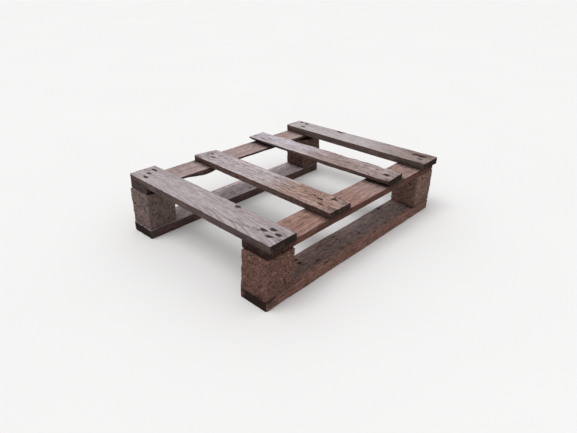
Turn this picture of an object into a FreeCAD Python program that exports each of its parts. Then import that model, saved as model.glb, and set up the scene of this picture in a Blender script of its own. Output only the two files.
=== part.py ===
import FreeCAD, Part
import math
import os

# A small four-block wooden pallet, in millimetres.
#
# The frame: the origin is on the floor under the middle of the pallet, +Z is up, +Y runs along the
# stringers and the bottom boards, and +X runs along the deck boards. "Front" is towards -Y, "back" is
# towards +Y, "left" is towards -X and "right" is towards +X.
#
# From the floor up it is: two bottom boards (runners), four pressed chipboard blocks, two stringer boards
# and four deck boards, held together by nails. The wood is rough sawn and the pallet is well used, so no
# two boards are quite the same width, square or in line.

# ---- Driving dimensions -------------------------------------------------------------------------------

pallet_length = 800.0        # nominal, along Y
pallet_width = 600.0         # nominal, along X

runner_thickness = 30.0
block_height = 113.0
stringer_thickness = 21.0
deck_thickness = 22.0

runner_width = 97.0
stringer_width = 91.0
block_length = 96.0          # along Y
block_width = 92.0           # along X

worn_arris = 1.6             # how far the sharp corners of a sawn board are worn off
worn_block_arris = 2.4
worn_runner_corner = 11.0    # rounding, in plan, of the runner ends that are dragged over the floor

nail_shank_diameter = 3.1
nail_head_diameter = 7.0
nail_head_thickness = 1.4
nail_point_length = 4.5
nail_sink = 1.2              # how far a head lies below the wood
nail_crater_spread = 1.6     # how far the crushed wood reaches past the head
nail_crater_margin = 1.0     # how far the crater's cutter stands out of the wood

block_nail_bite = 46.0       # how deep a nail goes into a block
stringer_nail_cover = 3.5    # wood left under the point of a nail that ends in a stringer

wane_margin = 6.0            # how far the waney-edge cutter stands outside the board
upright_tolerance = 0.01     # how far an upright edge may stray from the vertical

# Each deck board. middle is measured along Y from the pallet's front or back end to the board's middle.
# The ends stand past the pallet's nominal sides by past_left and past_right. A slant is how much further
# left or right the far corner of that end lies than its near corner. turn is in degrees, seen from above.
DECK_BOARDS = {
    "front": {
        "from": "front", "middle": 56.0, "width_left": 93.0, "width_right": 94.5, "extra_thickness": 0.0,
        "past_left": 5.0, "past_right": 2.5, "slant_left": 0.5, "slant_right": 0.0, "turn": -0.17,
    },
    "second": {
        "from": "front", "middle": 285.0, "width_left": 87.5, "width_right": 91.5, "extra_thickness": -2.2,
        "past_left": -2.0, "past_right": -4.5, "slant_left": 14.0, "slant_right": 0.5, "turn": -0.9,
    },
    "third": {
        "from": "back", "middle": 252.0, "width_left": 79.0, "width_right": 96.0, "extra_thickness": 0.6,
        "past_left": 1.0, "past_right": -4.5, "slant_left": -3.0, "slant_right": -3.0, "turn": 1.55,
    },
    "back": {
        "from": "back", "middle": 50.5, "width_left": 79.0, "width_right": 92.0, "extra_thickness": 1.4,
        "past_left": 3.0, "past_right": 4.6, "slant_left": 0.0, "slant_right": 0.0, "turn": 0.7,
    },
}

# Each long board: how far its outer edge lies inside the pallet's nominal side, and how far its ends
# stand past the nominal front and back.
STRINGERS = {
    "left": {"side": -1.0, "inset": 0.6, "past_front": -8.5, "past_back": -4.0},
    "right": {"side": 1.0, "inset": 6.6, "past_front": -8.5, "past_back": -5.0},
}
RUNNERS = {
    "left": {"side": -1.0, "inset": 2.5, "past_front": 2.0, "past_back": 2.0},
    "right": {"side": 1.0, "inset": 2.0, "past_front": 2.0, "past_back": -2.0},
}

# Each block: how far its outer faces lie inside the nominal corner at its foot, and how far its top is
# pushed over from its foot, along X and Y, by years of knocks from forks.
BLOCKS = {
    "front_left": {"end": -1.0, "side": -1.0, "inset": (5.0, 1.0), "lean": (-1.5, 2.0)},
    "front_right": {"end": -1.0, "side": 1.0, "inset": (4.0, -1.0), "lean": (5.0, 4.0)},
    "back_left": {"end": 1.0, "side": -1.0, "inset": (7.5, 6.0), "lean": (0.5, -0.5)},
    "back_right": {"end": 1.0, "side": 1.0, "inset": (4.5, 6.5), "lean": (-1.0, 0.5)},
}

# Nails through the deck, as places along X and Y from the middle of each board-and-stringer crossing.
DECK_NAILS = {
    "front_left": [(-8.0, -2.0), (-18.0, 23.0), (8.0, -26.0)],
    "front_right": [(-10.0, 0.0), (5.0, 15.0), (19.0, -13.0), (30.0, 4.0)],
    "second_left": [(-6.0, 9.0), (18.0, -9.0)],
    "second_right": [(-27.0, 2.0), (3.0, 27.0), (-4.0, -22.0)],
    "third_left": [(0.0, 20.0), (26.0, 0.0)],
    "third_right": [(-26.0, 11.0), (10.0, -4.0)],
    "back_left": [(-24.0, 23.0), (2.0, 21.0), (15.0, -15.0)],
    "back_right": [(-12.0, 11.0), (12.0, 15.0), (21.0, -14.0)],
}

# Nails driven up through the runner into each block, from the middle of the block's foot.
RUNNER_NAILS = [(-22.0, -20.0), (20.0, -7.0), (-6.0, 24.0)]

# Wane: stretches where a board's lower edge is the round outside of the log instead of a sawn corner.
# Each station is (place along the board from its middle, height of wood gone, depth of wood gone).
THIRD_BOARD_WANE = [
    (-330.0, 17.0, 40.0),
    (-200.0, 15.0, 30.0),
    (-50.0, 11.5, 20.0),
    (120.0, 9.0, 15.0),
    (330.0, 11.0, 19.0),
]
LEFT_STRINGER_WANE = [
    (-440.0, 6.0, 11.0),
    (-375.0, 7.5, 14.0),
    (-310.0, 15.5, 28.0),
    (-255.0, 16.5, 30.0),
    (-165.0, 3.5, 7.0),
    (-25.0, 16.5, 32.0),
    (115.0, 14.5, 26.0),
    (300.0, 6.0, 11.0),
    (440.0, 6.0, 11.0),
]

# ---- Levels worked out from the driving dimensions ----------------------------------------------------

runner_top = runner_thickness
block_top = runner_top + block_height
stringer_top = block_top + stringer_thickness

half_length = pallet_length / 2.0
half_width = pallet_width / 2.0

nail_shank_radius = nail_shank_diameter / 2.0
nail_head_radius = nail_head_diameter / 2.0


# ---- Boards -------------------------------------------------------------------------------------------

def prism(outline, bottom, thickness):
    """A board with the given plan outline, standing from bottom up to bottom plus thickness."""
    corners = [FreeCAD.Vector(x, y, bottom) for x, y in outline]
    face = Part.Face(Part.makePolygon(corners + corners[:1]))
    return face.extrude(FreeCAD.Vector(0.0, 0.0, thickness))


def upright_edges_at(solid, is_worn_end):
    """The vertical edges of a board whose place along Y satisfies is_worn_end."""
    found = []
    for edge in solid.Edges:
        first, last = edge.Vertexes[0].Point, edge.Vertexes[-1].Point
        is_upright = math.hypot(first.x - last.x, first.y - last.y) < upright_tolerance
        if is_upright and is_worn_end(first.y):
            found.append(edge)
    return found


def wane_cutter(stations, edge_across, inward, bottom, along_x):
    """The wood that the sawyer's log didn't have: a lofted wedge along a board's lower edge.

    edge_across is the place of the edge across the board, and inward is +1 or -1, the way into the board.
    """
    sections = []
    for place, gone_height, gone_depth in stations:
        # The wedge's slanting face runs on past the two board faces that it meets.
        slope = gone_height / gone_depth
        outside = edge_across - inward * wane_margin
        inside = edge_across + inward * (gone_depth + wane_margin)
        top = bottom + gone_height + wane_margin * slope
        low = bottom - wane_margin * slope
        profile = [(outside, low), (inside, low), (outside, top)]
        if along_x:
            points = [FreeCAD.Vector(place, across, height) for across, height in profile]
        else:
            points = [FreeCAD.Vector(across, place, height) for across, height in profile]
        sections.append(Part.makePolygon(points + points[:1]))
    return Part.makeLoft(sections, True, True)


def deck_board_frame(board):
    """The board's middle along Y, and its turn as a cosine and a sine."""
    if board["from"] == "front":
        middle = -half_length + board["middle"]
    else:
        middle = half_length - board["middle"]
    turn = math.radians(board["turn"])
    return middle, math.cos(turn), math.sin(turn)


def turned(board, x, y):
    """A point given from the middle of a deck board, as a point of the pallet."""
    middle, cosine, sine = deck_board_frame(board)
    return x * cosine - y * sine, middle + x * sine + y * cosine


def deck_board_thickness(board):
    return deck_thickness + board["extra_thickness"]


def deck_board(board):
    left = -half_width - board["past_left"]
    right = half_width + board["past_right"]
    outline = [
        turned(board, left, -board["width_left"] / 2.0),
        turned(board, right, -board["width_right"] / 2.0),
        turned(board, right + board["slant_right"], board["width_right"] / 2.0),
        turned(board, left + board["slant_left"], board["width_left"] / 2.0),
    ]
    solid = prism(outline, stringer_top, deck_board_thickness(board))
    return solid.makeFillet(worn_arris, solid.Edges)


def waney_third_board(board):
    """The third deck board, with the round of the log along its near lower edge."""
    solid = deck_board(board)
    middle, _, _ = deck_board_frame(board)
    near_edge = -(board["width_left"] + board["width_right"]) / 4.0
    cutter = wane_cutter(THIRD_BOARD_WANE, near_edge, 1.0, stringer_top, True)
    # The near edge runs straight between its two ends, so the cutter turns with it.
    taper = math.degrees(math.atan2(board["width_left"] - board["width_right"], 2.0 * pallet_width))
    cutter.rotate(FreeCAD.Vector(0.0, near_edge, 0.0), FreeCAD.Vector(0.0, 0.0, 1.0), taper)
    cutter.rotate(FreeCAD.Vector(0.0, 0.0, 0.0), FreeCAD.Vector(0.0, 0.0, 1.0), board["turn"])
    cutter.translate(FreeCAD.Vector(0.0, middle, 0.0))
    return solid.cut(cutter)


def long_board_outline(board, width):
    outer = board["side"] * (half_width - board["inset"])
    inner = outer - board["side"] * width
    near = -half_length - board["past_front"]
    far = half_length + board["past_back"]
    left, right = min(outer, inner), max(outer, inner)
    return [(left, near), (right, near), (right, far), (left, far)]


def stringer_middle(side_name):
    board = STRINGERS[side_name]
    return board["side"] * (half_width - board["inset"] - stringer_width / 2.0)


def stringer(side_name):
    outline = long_board_outline(STRINGERS[side_name], stringer_width)
    solid = prism(outline, block_top, stringer_thickness)
    return solid.makeFillet(worn_arris, solid.Edges)


def waney_left_stringer():
    """The left stringer, whose inner lower edge is mostly the round outside of the log."""
    solid = stringer("left")
    inner_edge = stringer_middle("left") + stringer_width / 2.0
    cutter = wane_cutter(LEFT_STRINGER_WANE, inner_edge, -1.0, block_top, False)
    return solid.cut(cutter)


def runner(side_name):
    """A bottom board. Its back end is dragged over the floor, so it is rounded in plan."""
    solid = prism(long_board_outline(RUNNERS[side_name], runner_width), 0.0, runner_thickness)
    worn = upright_edges_at(solid, lambda y: y > 0.0)
    solid = solid.makeFillet(worn_runner_corner, worn)
    return solid.makeFillet(worn_arris, solid.Edges)


# ---- Chipboard blocks ---------------------------------------------------------------------------------

def block_foot(block):
    """The middle of a block's foot."""
    x = block["side"] * (half_width - block["inset"][0] - block_width / 2.0)
    y = block["end"] * (half_length - block["inset"][1] - block_length / 2.0)
    return x, y


def chipboard_block(block):
    """A pressed block, its top pushed over from its foot."""
    foot_x, foot_y = block_foot(block)
    across, along = block_width / 2.0, block_length / 2.0
    foot = [(-across, -along), (across, -along), (across, along), (-across, along)]
    ring = [FreeCAD.Vector(foot_x + x, foot_y + y, runner_top) for x, y in foot]
    face = Part.Face(Part.makePolygon(ring + ring[:1]))
    pushed_over = FreeCAD.Vector(block["lean"][0], block["lean"][1], block_height)
    solid = face.extrude(pushed_over)
    return solid.makeFillet(worn_block_arris, solid.Edges)


# ---- Nails --------------------------------------------------------------------------------------------

def revolved(profile):
    """A solid of revolution about Z from (radius, height) points."""
    points = [FreeCAD.Vector(radius, 0.0, height) for radius, height in profile]
    face = Part.Face(Part.makePolygon(points + points[:1]))
    return face.revolve(FreeCAD.Vector(0.0, 0.0, 0.0), FreeCAD.Vector(0.0, 0.0, 1.0), 360.0)


def nail(length):
    """A flat-headed nail hanging down from the origin, which is on top of its head."""
    return revolved([
        (0.0, 0.0),
        (nail_head_radius, 0.0),
        (nail_head_radius, -nail_head_thickness),
        (nail_shank_radius, -nail_head_thickness),
        (nail_shank_radius, -length + nail_point_length),
        (0.0, -length),
    ])


def crater():
    """The crushed wood over a sunken head, opening from the head up to the surface."""
    return revolved([
        (0.0, 0.0),
        (nail_head_radius, 0.0),
        (nail_head_radius + nail_crater_spread, nail_sink),
        (nail_head_radius + nail_crater_spread, nail_sink + nail_crater_margin),
        (0.0, nail_sink + nail_crater_margin),
    ])


def placed(solid, x, y, height, upwards=False):
    """A nail or crater moved to its place, turned over if it is driven upwards."""
    moved = solid.copy()
    if upwards:
        moved.rotate(FreeCAD.Vector(0.0, 0.0, 0.0), FreeCAD.Vector(1.0, 0.0, 0.0), 180.0)
    moved.translate(FreeCAD.Vector(x, y, height))
    return moved


def crossing(deck_name, side_name):
    """The middle of the crossing of a deck board and a stringer."""
    board = DECK_BOARDS[deck_name]
    middle, cosine, sine = deck_board_frame(board)
    x = stringer_middle(side_name)
    return x, middle + x * sine / cosine


def deck_nail_places(deck_name, side_name):
    x, y = crossing(deck_name, side_name)
    return [(x + dx, y + dy) for dx, dy in DECK_NAILS[deck_name + "_" + side_name]]


# ---- The assembly -------------------------------------------------------------------------------------

def cut_all(solid, tools):
    for tool in tools:
        solid = solid.cut(tool)
    return solid


def build():
    """Every piece of the pallet, as node name to shape."""
    wood = {}
    nails = {}

    for name, board in DECK_BOARDS.items():
        if name == "third":
            wood["deck_board_" + name] = waney_third_board(board)
        else:
            wood["deck_board_" + name] = deck_board(board)
    wood["stringer_left"] = waney_left_stringer()
    wood["stringer_right"] = stringer("right")
    for name, block in BLOCKS.items():
        wood["block_" + name] = chipboard_block(block)
    for side_name in RUNNERS:
        wood["runner_" + side_name] = runner(side_name)

    # Nails down through the deck: at the ends they reach into the blocks, elsewhere they stop in the
    # stringer.
    for deck_name, board in DECK_BOARDS.items():
        for side_name in STRINGERS:
            corner = deck_name + "_" + side_name
            head_top = stringer_top + deck_board_thickness(board) - nail_sink
            if corner in BLOCKS:
                point = block_top - block_nail_bite
            else:
                point = block_top + stringer_nail_cover
            one_nail = nail(head_top - point)
            places = deck_nail_places(deck_name, side_name)
            group = [placed(one_nail, x, y, head_top) for x, y in places]
            craters = [placed(crater(), x, y, head_top) for x, y in places]
            nails["deck_nails_" + corner] = group
            deck_node = "deck_board_" + deck_name
            wood[deck_node] = cut_all(wood[deck_node], group + craters)
            wood["stringer_" + side_name] = cut_all(wood["stringer_" + side_name], group)
            if corner in BLOCKS:
                wood["block_" + corner] = cut_all(wood["block_" + corner], group)

    # Nails up through the runners into the blocks.
    for name, block in BLOCKS.items():
        side_name = name.split("_")[1]
        foot_x, foot_y = block_foot(block)
        one_nail = nail(runner_top + block_nail_bite - nail_sink)
        places = [(foot_x + dx, foot_y + dy) for dx, dy in RUNNER_NAILS]
        group = [placed(one_nail, x, y, nail_sink, upwards=True) for x, y in places]
        craters = [placed(crater(), x, y, nail_sink, upwards=True) for x, y in places]
        nails["runner_nails_" + name] = group
        wood["block_" + name] = cut_all(wood["block_" + name], group)
        wood["runner_" + side_name] = cut_all(wood["runner_" + side_name], group + craters)

    shapes = dict(wood)
    for name, group in nails.items():
        shapes[name] = Part.makeCompound(group)
    return shapes


os.makedirs("parts", exist_ok=True)
for node, shape in build().items():
    shape.exportStep("parts/" + node + ".step")
    size = shape.BoundBox
    print(node, len(shape.Solids), "solids", round(shape.Volume / 1000.0, 1), "cm3",
          [round(v, 1) for v in (size.XMin, size.XMax, size.YMin, size.YMax, size.ZMin, size.ZMax)])
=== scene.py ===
# %% [markdown]
# # A well-used wooden pallet
#
# This lesson dresses a small four-block pallet: four deck boards, two stringer boards, four pressed
# chipboard blocks, two bottom boards and the nails that hold them. The frame gives every piece its place.
# Here each piece gets its true surface: worn corners, grain that stands proud, wane, craters and chips.
# Lengths are in metres, +X runs along the deck boards, +Y along the stringers and +Z is up.

# %% Load the frame
import math
import bmesh
import bpy
from mathutils import Matrix, Vector


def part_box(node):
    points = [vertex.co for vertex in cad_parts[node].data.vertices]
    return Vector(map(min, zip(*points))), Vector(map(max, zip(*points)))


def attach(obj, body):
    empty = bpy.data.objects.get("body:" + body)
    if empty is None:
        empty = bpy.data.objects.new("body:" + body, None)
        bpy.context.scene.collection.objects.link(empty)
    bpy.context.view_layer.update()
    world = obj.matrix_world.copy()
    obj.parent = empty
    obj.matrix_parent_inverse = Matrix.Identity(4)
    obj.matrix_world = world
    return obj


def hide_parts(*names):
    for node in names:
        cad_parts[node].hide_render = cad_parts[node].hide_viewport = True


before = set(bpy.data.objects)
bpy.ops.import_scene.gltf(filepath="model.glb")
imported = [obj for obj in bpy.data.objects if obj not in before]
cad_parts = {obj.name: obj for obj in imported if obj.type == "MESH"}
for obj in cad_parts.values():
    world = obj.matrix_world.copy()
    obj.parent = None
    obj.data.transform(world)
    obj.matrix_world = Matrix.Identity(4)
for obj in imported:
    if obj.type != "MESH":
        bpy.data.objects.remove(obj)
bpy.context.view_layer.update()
MM = 0.001


def in_scene(name, data):
    """A new object that holds this data, placed in the scene."""
    made = bpy.data.objects.new(name, data)
    bpy.context.scene.collection.objects.link(made)
    return made


# %% [markdown]
# ## The camera
#
# The camera stands a little over a metre off the near right corner and looks down on it. Its direction is
# built from a compass turn, a downward tilt and a slight roll, which is how a hand-held view is described.

# %% Camera
CAMERA_PLACE = Vector((0.945, -1.0278, 0.7471))
CAMERA_TURN = math.radians(42.7)
CAMERA_TILT = math.radians(28.1)
CAMERA_ROLL = math.radians(0.7)
CAMERA_LENS = 29.4      # millimetres, on a sensor 36 mm wide


def stand_camera():
    ahead = Vector((-math.sin(CAMERA_TURN) * math.cos(CAMERA_TILT),
                    math.cos(CAMERA_TURN) * math.cos(CAMERA_TILT),
                    -math.sin(CAMERA_TILT)))
    level = Vector((math.cos(CAMERA_TURN), math.sin(CAMERA_TURN), 0.0))
    upright = level.cross(ahead)
    right = math.cos(CAMERA_ROLL) * level + math.sin(CAMERA_ROLL) * upright
    up = math.cos(CAMERA_ROLL) * upright - math.sin(CAMERA_ROLL) * level
    lens = bpy.data.cameras.new("camera")
    lens.lens = CAMERA_LENS
    lens.sensor_width = 36.0
    lens.clip_start = 0.01
    camera = in_scene("camera", lens)
    axes = Matrix((right, up, -ahead)).transposed()
    camera.matrix_world = Matrix.Translation(CAMERA_PLACE) @ axes.to_4x4()
    bpy.context.scene.camera = camera


stand_camera()
print("camera at", [round(value, 3) for value in CAMERA_PLACE])

# %% [markdown]
# ## Writing sums in a node tree
#
# Shader and geometry trees share their arithmetic nodes. A small class stands for one value in a tree, so
# that a sum of sockets is written as a sum. Every tree below is written with it.

# %% Sums as nodes


def plug(tree, value, socket):
    """Connects a wire to a socket, or sets the socket to a plain value."""
    if isinstance(value, Wire):
        tree.links.new(value.socket, socket)
    else:
        socket.default_value = value


class Wire:
    """One value in a node tree."""

    def __init__(self, tree, socket):
        self.tree = tree
        self.socket = socket

    def math(self, operation, *others):
        made = self.tree.nodes.new("ShaderNodeMath")
        made.operation = operation
        for socket, value in zip(made.inputs, (self,) + others):
            plug(self.tree, value, socket)
        return Wire(self.tree, made.outputs[0])

    def __add__(self, other):
        return self.math("ADD", other)

    def __sub__(self, other):
        return self.math("SUBTRACT", other)

    def __mul__(self, other):
        return self.math("MULTIPLY", other)

    def __truediv__(self, other):
        return self.math("DIVIDE", other)

    def __pow__(self, other):
        return self.math("POWER", other)

    def __neg__(self):
        return self.math("MULTIPLY", -1.0)

    __radd__ = __add__
    __rmul__ = __mul__

    def __rsub__(self, other):
        return (-self).math("ADD", other)

    def size(self):
        return self.math("ABSOLUTE")

    def sign(self):
        return self.math("SIGN")

    def least(self, other):
        return self.math("MINIMUM", other)

    def most(self, other):
        return self.math("MAXIMUM", other)

    def between(self, low, high):
        return self.most(low).least(high)

    def step(self, low, high, start=0.0, end=1.0):
        """Runs smoothly from start to end while the value runs from low to high."""
        made = self.tree.nodes.new("ShaderNodeMapRange")
        made.interpolation_type = "SMOOTHSTEP"
        for socket, value in zip(made.inputs, (self, low, high, start, end)):
            plug(self.tree, value, socket)
        return Wire(self.tree, made.outputs[0])

    def xyz(self):
        made = self.tree.nodes.new("ShaderNodeSeparateXYZ")
        plug(self.tree, self, made.inputs[0])
        return [Wire(self.tree, socket) for socket in made.outputs]

    def vector(self, operation, *others):
        made = self.tree.nodes.new("ShaderNodeVectorMath")
        made.operation = operation
        for socket, value in zip(made.inputs, (self,) + others):
            plug(self.tree, value, socket)
        return Wire(self.tree, made.outputs[0])

    def scaled(self, factor):
        """This vector times one number."""
        made = self.tree.nodes.new("ShaderNodeVectorMath")
        made.operation = "SCALE"
        plug(self.tree, self, made.inputs[0])
        plug(self.tree, factor, made.inputs["Scale"])
        return Wire(self.tree, made.outputs[0])


def add_node(tree, kind, inputs=None, **settings):
    """A new node with its settings and its inputs, which are found by name or by number."""
    made = tree.nodes.new(kind)
    for name, value in settings.items():
        setattr(made, name, value)
    for key, value in (inputs or {}).items():
        plug(tree, value, made.inputs[key])
    return made


def out(tree, made, key=0):
    return Wire(tree, made.outputs[key])


def point(tree, x, y, z):
    return out(tree, add_node(tree, "ShaderNodeCombineXYZ", {0: x, 1: y, 2: z}))


def noise(tree, place, scale, detail=2.0, roughness=0.5, key="Fac"):
    """Soft noise about 0.5. The place is already stretched as the noise should be."""
    made = add_node(tree, "ShaderNodeTexNoise",
                    {"Vector": place, "Scale": scale, "Detail": detail, "Roughness": roughness})
    return out(tree, made, key)


def stretched(place, along, across, up):
    """The place with each axis multiplied, so that a texture runs long where the factor is small."""
    return place.vector("MULTIPLY", (along, across, up))


def moved_by(tree, place, x, y, z=0.0):
    """The place shifted, so that each board or block gets its own stretch of a texture."""
    return place.vector("ADD", point(tree, x, y, z))


def read(tree, kind, key=0, **settings):
    """The output of a node that has no inputs, such as the position or the normal."""
    return out(tree, add_node(tree, kind, **settings), key)


def store(tree, geometry, name, value, kind="FLOAT", domain="POINT"):
    """Writes a value on every point, under a name that finishes and later steps can read."""
    made = add_node(tree, "GeometryNodeStoreNamedAttribute",
                    {"Geometry": geometry, "Name": name, "Value": value}, data_type=kind, domain=domain)
    return out(tree, made)


def stored(tree, name, kind="FLOAT"):
    """A value that store() wrote earlier in the same geometry tree."""
    return out(tree, add_node(tree, "GeometryNodeInputNamedAttribute", {"Name": name}, data_type=kind))


def placed_at(tree, geometry, place):
    """The geometry with its points moved to this place."""
    return out(tree, add_node(tree, "GeometryNodeSetPosition", {"Geometry": geometry, "Position": place}))


def object_shape(tree, source):
    """The geometry of another object, in that object's own lengths."""
    made = add_node(tree, "GeometryNodeObjectInfo", {"Object": source}, transform_space="ORIGINAL")
    return out(tree, made, "Geometry")


def leave_finished(tree, geometry, finish, leaving):
    """Ends a geometry tree: everything real, and everything in its finish."""
    whole = out(tree, add_node(tree, "GeometryNodeRealizeInstances", {"Geometry": geometry}))
    finished = add_node(tree, "GeometryNodeSetMaterial", {"Geometry": whole, "Material": finish})
    plug(tree, out(tree, finished), leaving.inputs[0])


def new_tree(name, kind, inputs, outputs):
    """A node tree with named inputs and outputs, as (tree, wires by input name, output node)."""
    tree = bpy.data.node_groups.new(name, kind)
    for label, socket_type, value in inputs:
        made = tree.interface.new_socket(name=label, in_out="INPUT", socket_type="NodeSocket" + socket_type)
        if value is not None:
            made.default_value = value
    for label, socket_type in outputs:
        tree.interface.new_socket(name=label, in_out="OUTPUT", socket_type="NodeSocket" + socket_type)
    entry = tree.nodes.new("NodeGroupInput")
    wires = {socket.name: Wire(tree, socket) for socket in entry.outputs if socket.name}
    return tree, wires, tree.nodes.new("NodeGroupOutput")


print("sums ready")

# %% [markdown]
# ## Growth rings
#
# A board is cut out of a trunk, so its grain is the trunk's rings where the board's faces cut them. The
# rings are shells about the pith, and the pith wanders and leans a little. Measuring every point's distance
# from it gives long arches on a flat-sawn face, straight lines on an edge and arcs on an end, all in one
# pattern that goes right through the wood. A knot is a branch, and the rings swell round it. The same sums
# serve the board's shape, where late wood stands proud of the weathered face, and its colour.

# %% Growth rings, for shapes and for colours
RING_INPUTS = [
    ("Place", "Vector", None),
    ("Seed", "Float", 0.0),
    ("Pith Across", "Float", 0.0),
    ("Pith Depth", "Float", 0.07),
    ("Pith Lean", "Float", 0.03),
    ("Ring Gap", "Float", 0.0035),
    ("Curl", "Float", 0.0),
    ("Curl From", "Float", 0.0),
    ("Curl To", "Float", 0.3),
    ("Knot A", "Vector", (9.0, 9.0, 0.01)),
    ("Knot B", "Vector", (9.0, 9.0, 0.01)),
]


def growth_rings(tree, wires):
    """Wires for the late wood, from 0 to 1, and for the knots, from 0 to 1 at their hearts."""
    along, across, up = wires["Place"].xyz()
    seeded = moved_by(tree, wires["Place"], wires["Seed"], wires["Seed"] * 0.7)
    wander = noise(tree, stretched(seeded, 3.0, 0.6, 0.6), 1.0, 2.0) - 0.5
    rise = noise(tree, stretched(seeded, 4.0, 0.5, 0.5), 1.3, 2.0) - 0.5
    curl = along.step(wires["Curl From"], wires["Curl To"]) * wires["Curl"]
    swirl = noise(tree, stretched(seeded, 16.0, 22.0, 10.0), 1.0, 2.0) - 0.5
    pith_across = wires["Pith Across"] + wander * 0.014
    pith_depth = wires["Pith Depth"] + along * wires["Pith Lean"] + rise * 0.009
    sideways = across - pith_across
    above = up + pith_depth
    radius = (sideways * sideways + above * above) ** 0.5 + swirl * (curl + 0.0012)
    knots = None
    for name in ("Knot A", "Knot B"):
        knot_along, knot_across, knot_size = wires[name].xyz()
        reach = (along - knot_along) / (knot_size * 1.5)
        spread = (across - knot_across) / knot_size
        away = reach * reach + spread * spread
        radius = radius + (away * -0.16).math("EXPONENT") * knot_size * 0.9
        heart = (away ** 0.5).step(1.15, 0.7)
        knots = heart if knots is None else knots.most(heart)
    # Wet years make wide rings and dry years make narrow ones.
    years = noise(tree, point(tree, radius * 150.0, wires["Seed"], 0.0), 1.0, 2.0) - 0.5
    turn = (radius / wires["Ring Gap"] + years * 3.0).math("FRACT")
    late = turn.step(0.25, 0.93) - turn.step(0.93, 1.0)
    return late, knots


def place_of_board(tree):
    """The place in the board's own lengths, which the board's mesh carries."""
    return read(tree, "ShaderNodeAttribute", "Vector", attribute_name="board_place")


def marked(tree, name):
    """A mask that a geometry tree stored on the mesh, read by a finish."""
    return read(tree, "ShaderNodeAttribute", "Fac", attribute_name=name)


print("ring inputs", len(RING_INPUTS))

# %% [markdown]
# ## A sawn board as a rule
#
# Every board of the pallet follows one rule, so one geometry tree makes all eight. It starts from a fine
# box in the board's own lengths, rounds the corners where years of knocks have worn them, lets the edges
# wander, takes off the wane, sinks the craters over the nails and lets the late wood stand proud. The last
# step carries the box to the board's four corners, which takes care of taper and skew at once. The tree
# also writes down what the finish will need: the place in the board, and masks for the worn corners, the
# bark, the nail stains, the checks, the pits and the dirt and painted shade near other pieces.

# %% The board tree
BOARD_INPUTS = RING_INPUTS[1:] + [
    ("Near Left", "Vector", None),
    ("Near Right", "Vector", None),
    ("Far Right", "Vector", None),
    ("Far Left", "Vector", None),
    ("Length", "Float", 0.6),
    ("Width", "Float", 0.09),
    ("Thickness", "Float", 0.022),
    ("Cells Along", "Int", 240),
    ("Cells Across", "Int", 84),
    ("Cells Up", "Int", 18),
    ("Arris", "Float", 0.002),
    ("Near Wander", "Float", 0.001),
    ("Far Wander", "Float", 0.001),
    ("Left Ragged", "Float", 0.001),
    ("Right Ragged", "Float", 0.001),
    ("Far Bite", "Vector", (0.0, 1.0, 0.0)),
    ("Round Left", "Float", 0.003),
    ("Round Right", "Float", 0.002),
    ("Gouge From", "Vector", (9.0, 9.0, 0.0)),
    ("Gouge To", "Vector", (9.01, 9.0, 0.0)),
    ("Relief", "Float", 0.0003),
    ("Checks", "Float", 0.001),
    ("Pits", "Float", 0.0),
    ("Split To", "Float", -9.0),
    ("Wane Height", "Float", 0.0),
    ("Wane Fall", "Float", 0.0),
    ("Wane Dip", "Float", 0.0),
    ("Wane Dip Place", "Float", 0.0),
    ("Wane Dip Reach", "Float", 0.05),
    ("Wane At End", "Float", 1.0),
    ("Nail Marks", "Object", None),
    ("Nail Stretch", "Vector", (0.55, 1.0, 0.0)),
    ("Nail Side", "Float", 1.0),
    ("Marks Left", "Float", 1.0),
    ("Marks Right", "Float", 1.0),
    ("Neighbours", "Object", None),
    ("Finish", "Material", None),
]
CRATER_DEPTH = 1.9 * MM
CRATER_EDGE = (3.1 * MM, 5.3 * MM)  # from a nail's middle: flat crater floor, untouched wood
STAIN_EDGE = (4.4 * MM, 7.2 * MM)   # the same for the rust stain round it
PIT_DEPTH = 1.1 * MM
WANE_SPREAD = 1.85      # how much wider than high the wane is
WANE_REACH = 90.0 * MM  # how far from the left end the wane grows to its full height
CONTACT_REACH = 20.0 * MM   # how far dirt and painted shade spread from where another piece lies against a board
CONTACT_DRIFT = 30.0 * MM   # how unevenly it spreads
THINNEST = 1e-6         # keeps a division away from nought


def crack_lines(tree, place, seed):
    """Long thin drying checks that run with the grain, as a mask from 0 to 1."""
    seeded = moved_by(tree, place, seed * 3.1, seed, seed)
    field = noise(tree, stretched(seeded, 5.0, 62.0, 40.0), 1.0, 3.0, 0.55)
    patches = noise(tree, stretched(seeded, 7.0, 30.0, 20.0), 1.0, 1.0)
    line = (field - 0.5).size().step(0.0, 0.022, 1.0, 0.0)
    return line * patches.step(0.6, 0.72)


def end_splits(tree, place, normal, reach):
    """Short upright splits in a board's near side, from its left end as far as the reach."""
    field = noise(tree, stretched(place, 150.0, 1.0, 9.0), 1.0, 2.0) - 0.5
    on_near_side = normal.xyz()[1].step(-0.5, -0.8)
    within_reach = place.xyz()[0].step(reach + 0.008, reach - 0.02)
    return field.size().step(0.0, 0.085, 1.0, 0.0) * within_reach * on_near_side


def pit_marks(tree, place, seed):
    """Oval bruises and rotten spots, long along the grain, as a mask from 0 to 1."""
    seeded = moved_by(tree, place, seed * 2.3, seed, seed)
    nearest = add_node(tree, "ShaderNodeTexVoronoi",
                       {"Vector": stretched(seeded, 26.0, 62.0, 62.0), "Scale": 1.0, "Randomness": 1.0})
    patches = noise(tree, seeded, 16.0, 2.0)
    rim = noise(tree, seeded, 240.0, 2.0) - 0.5
    smaller = out(tree, nearest, "Color").xyz()[0] * 0.35 - 0.08
    away = out(tree, nearest, "Distance") + rim * 0.2 + smaller
    return away.step(0.13, 0.32, 1.0, 0.0) * patches.step(0.38, 0.5)


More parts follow.
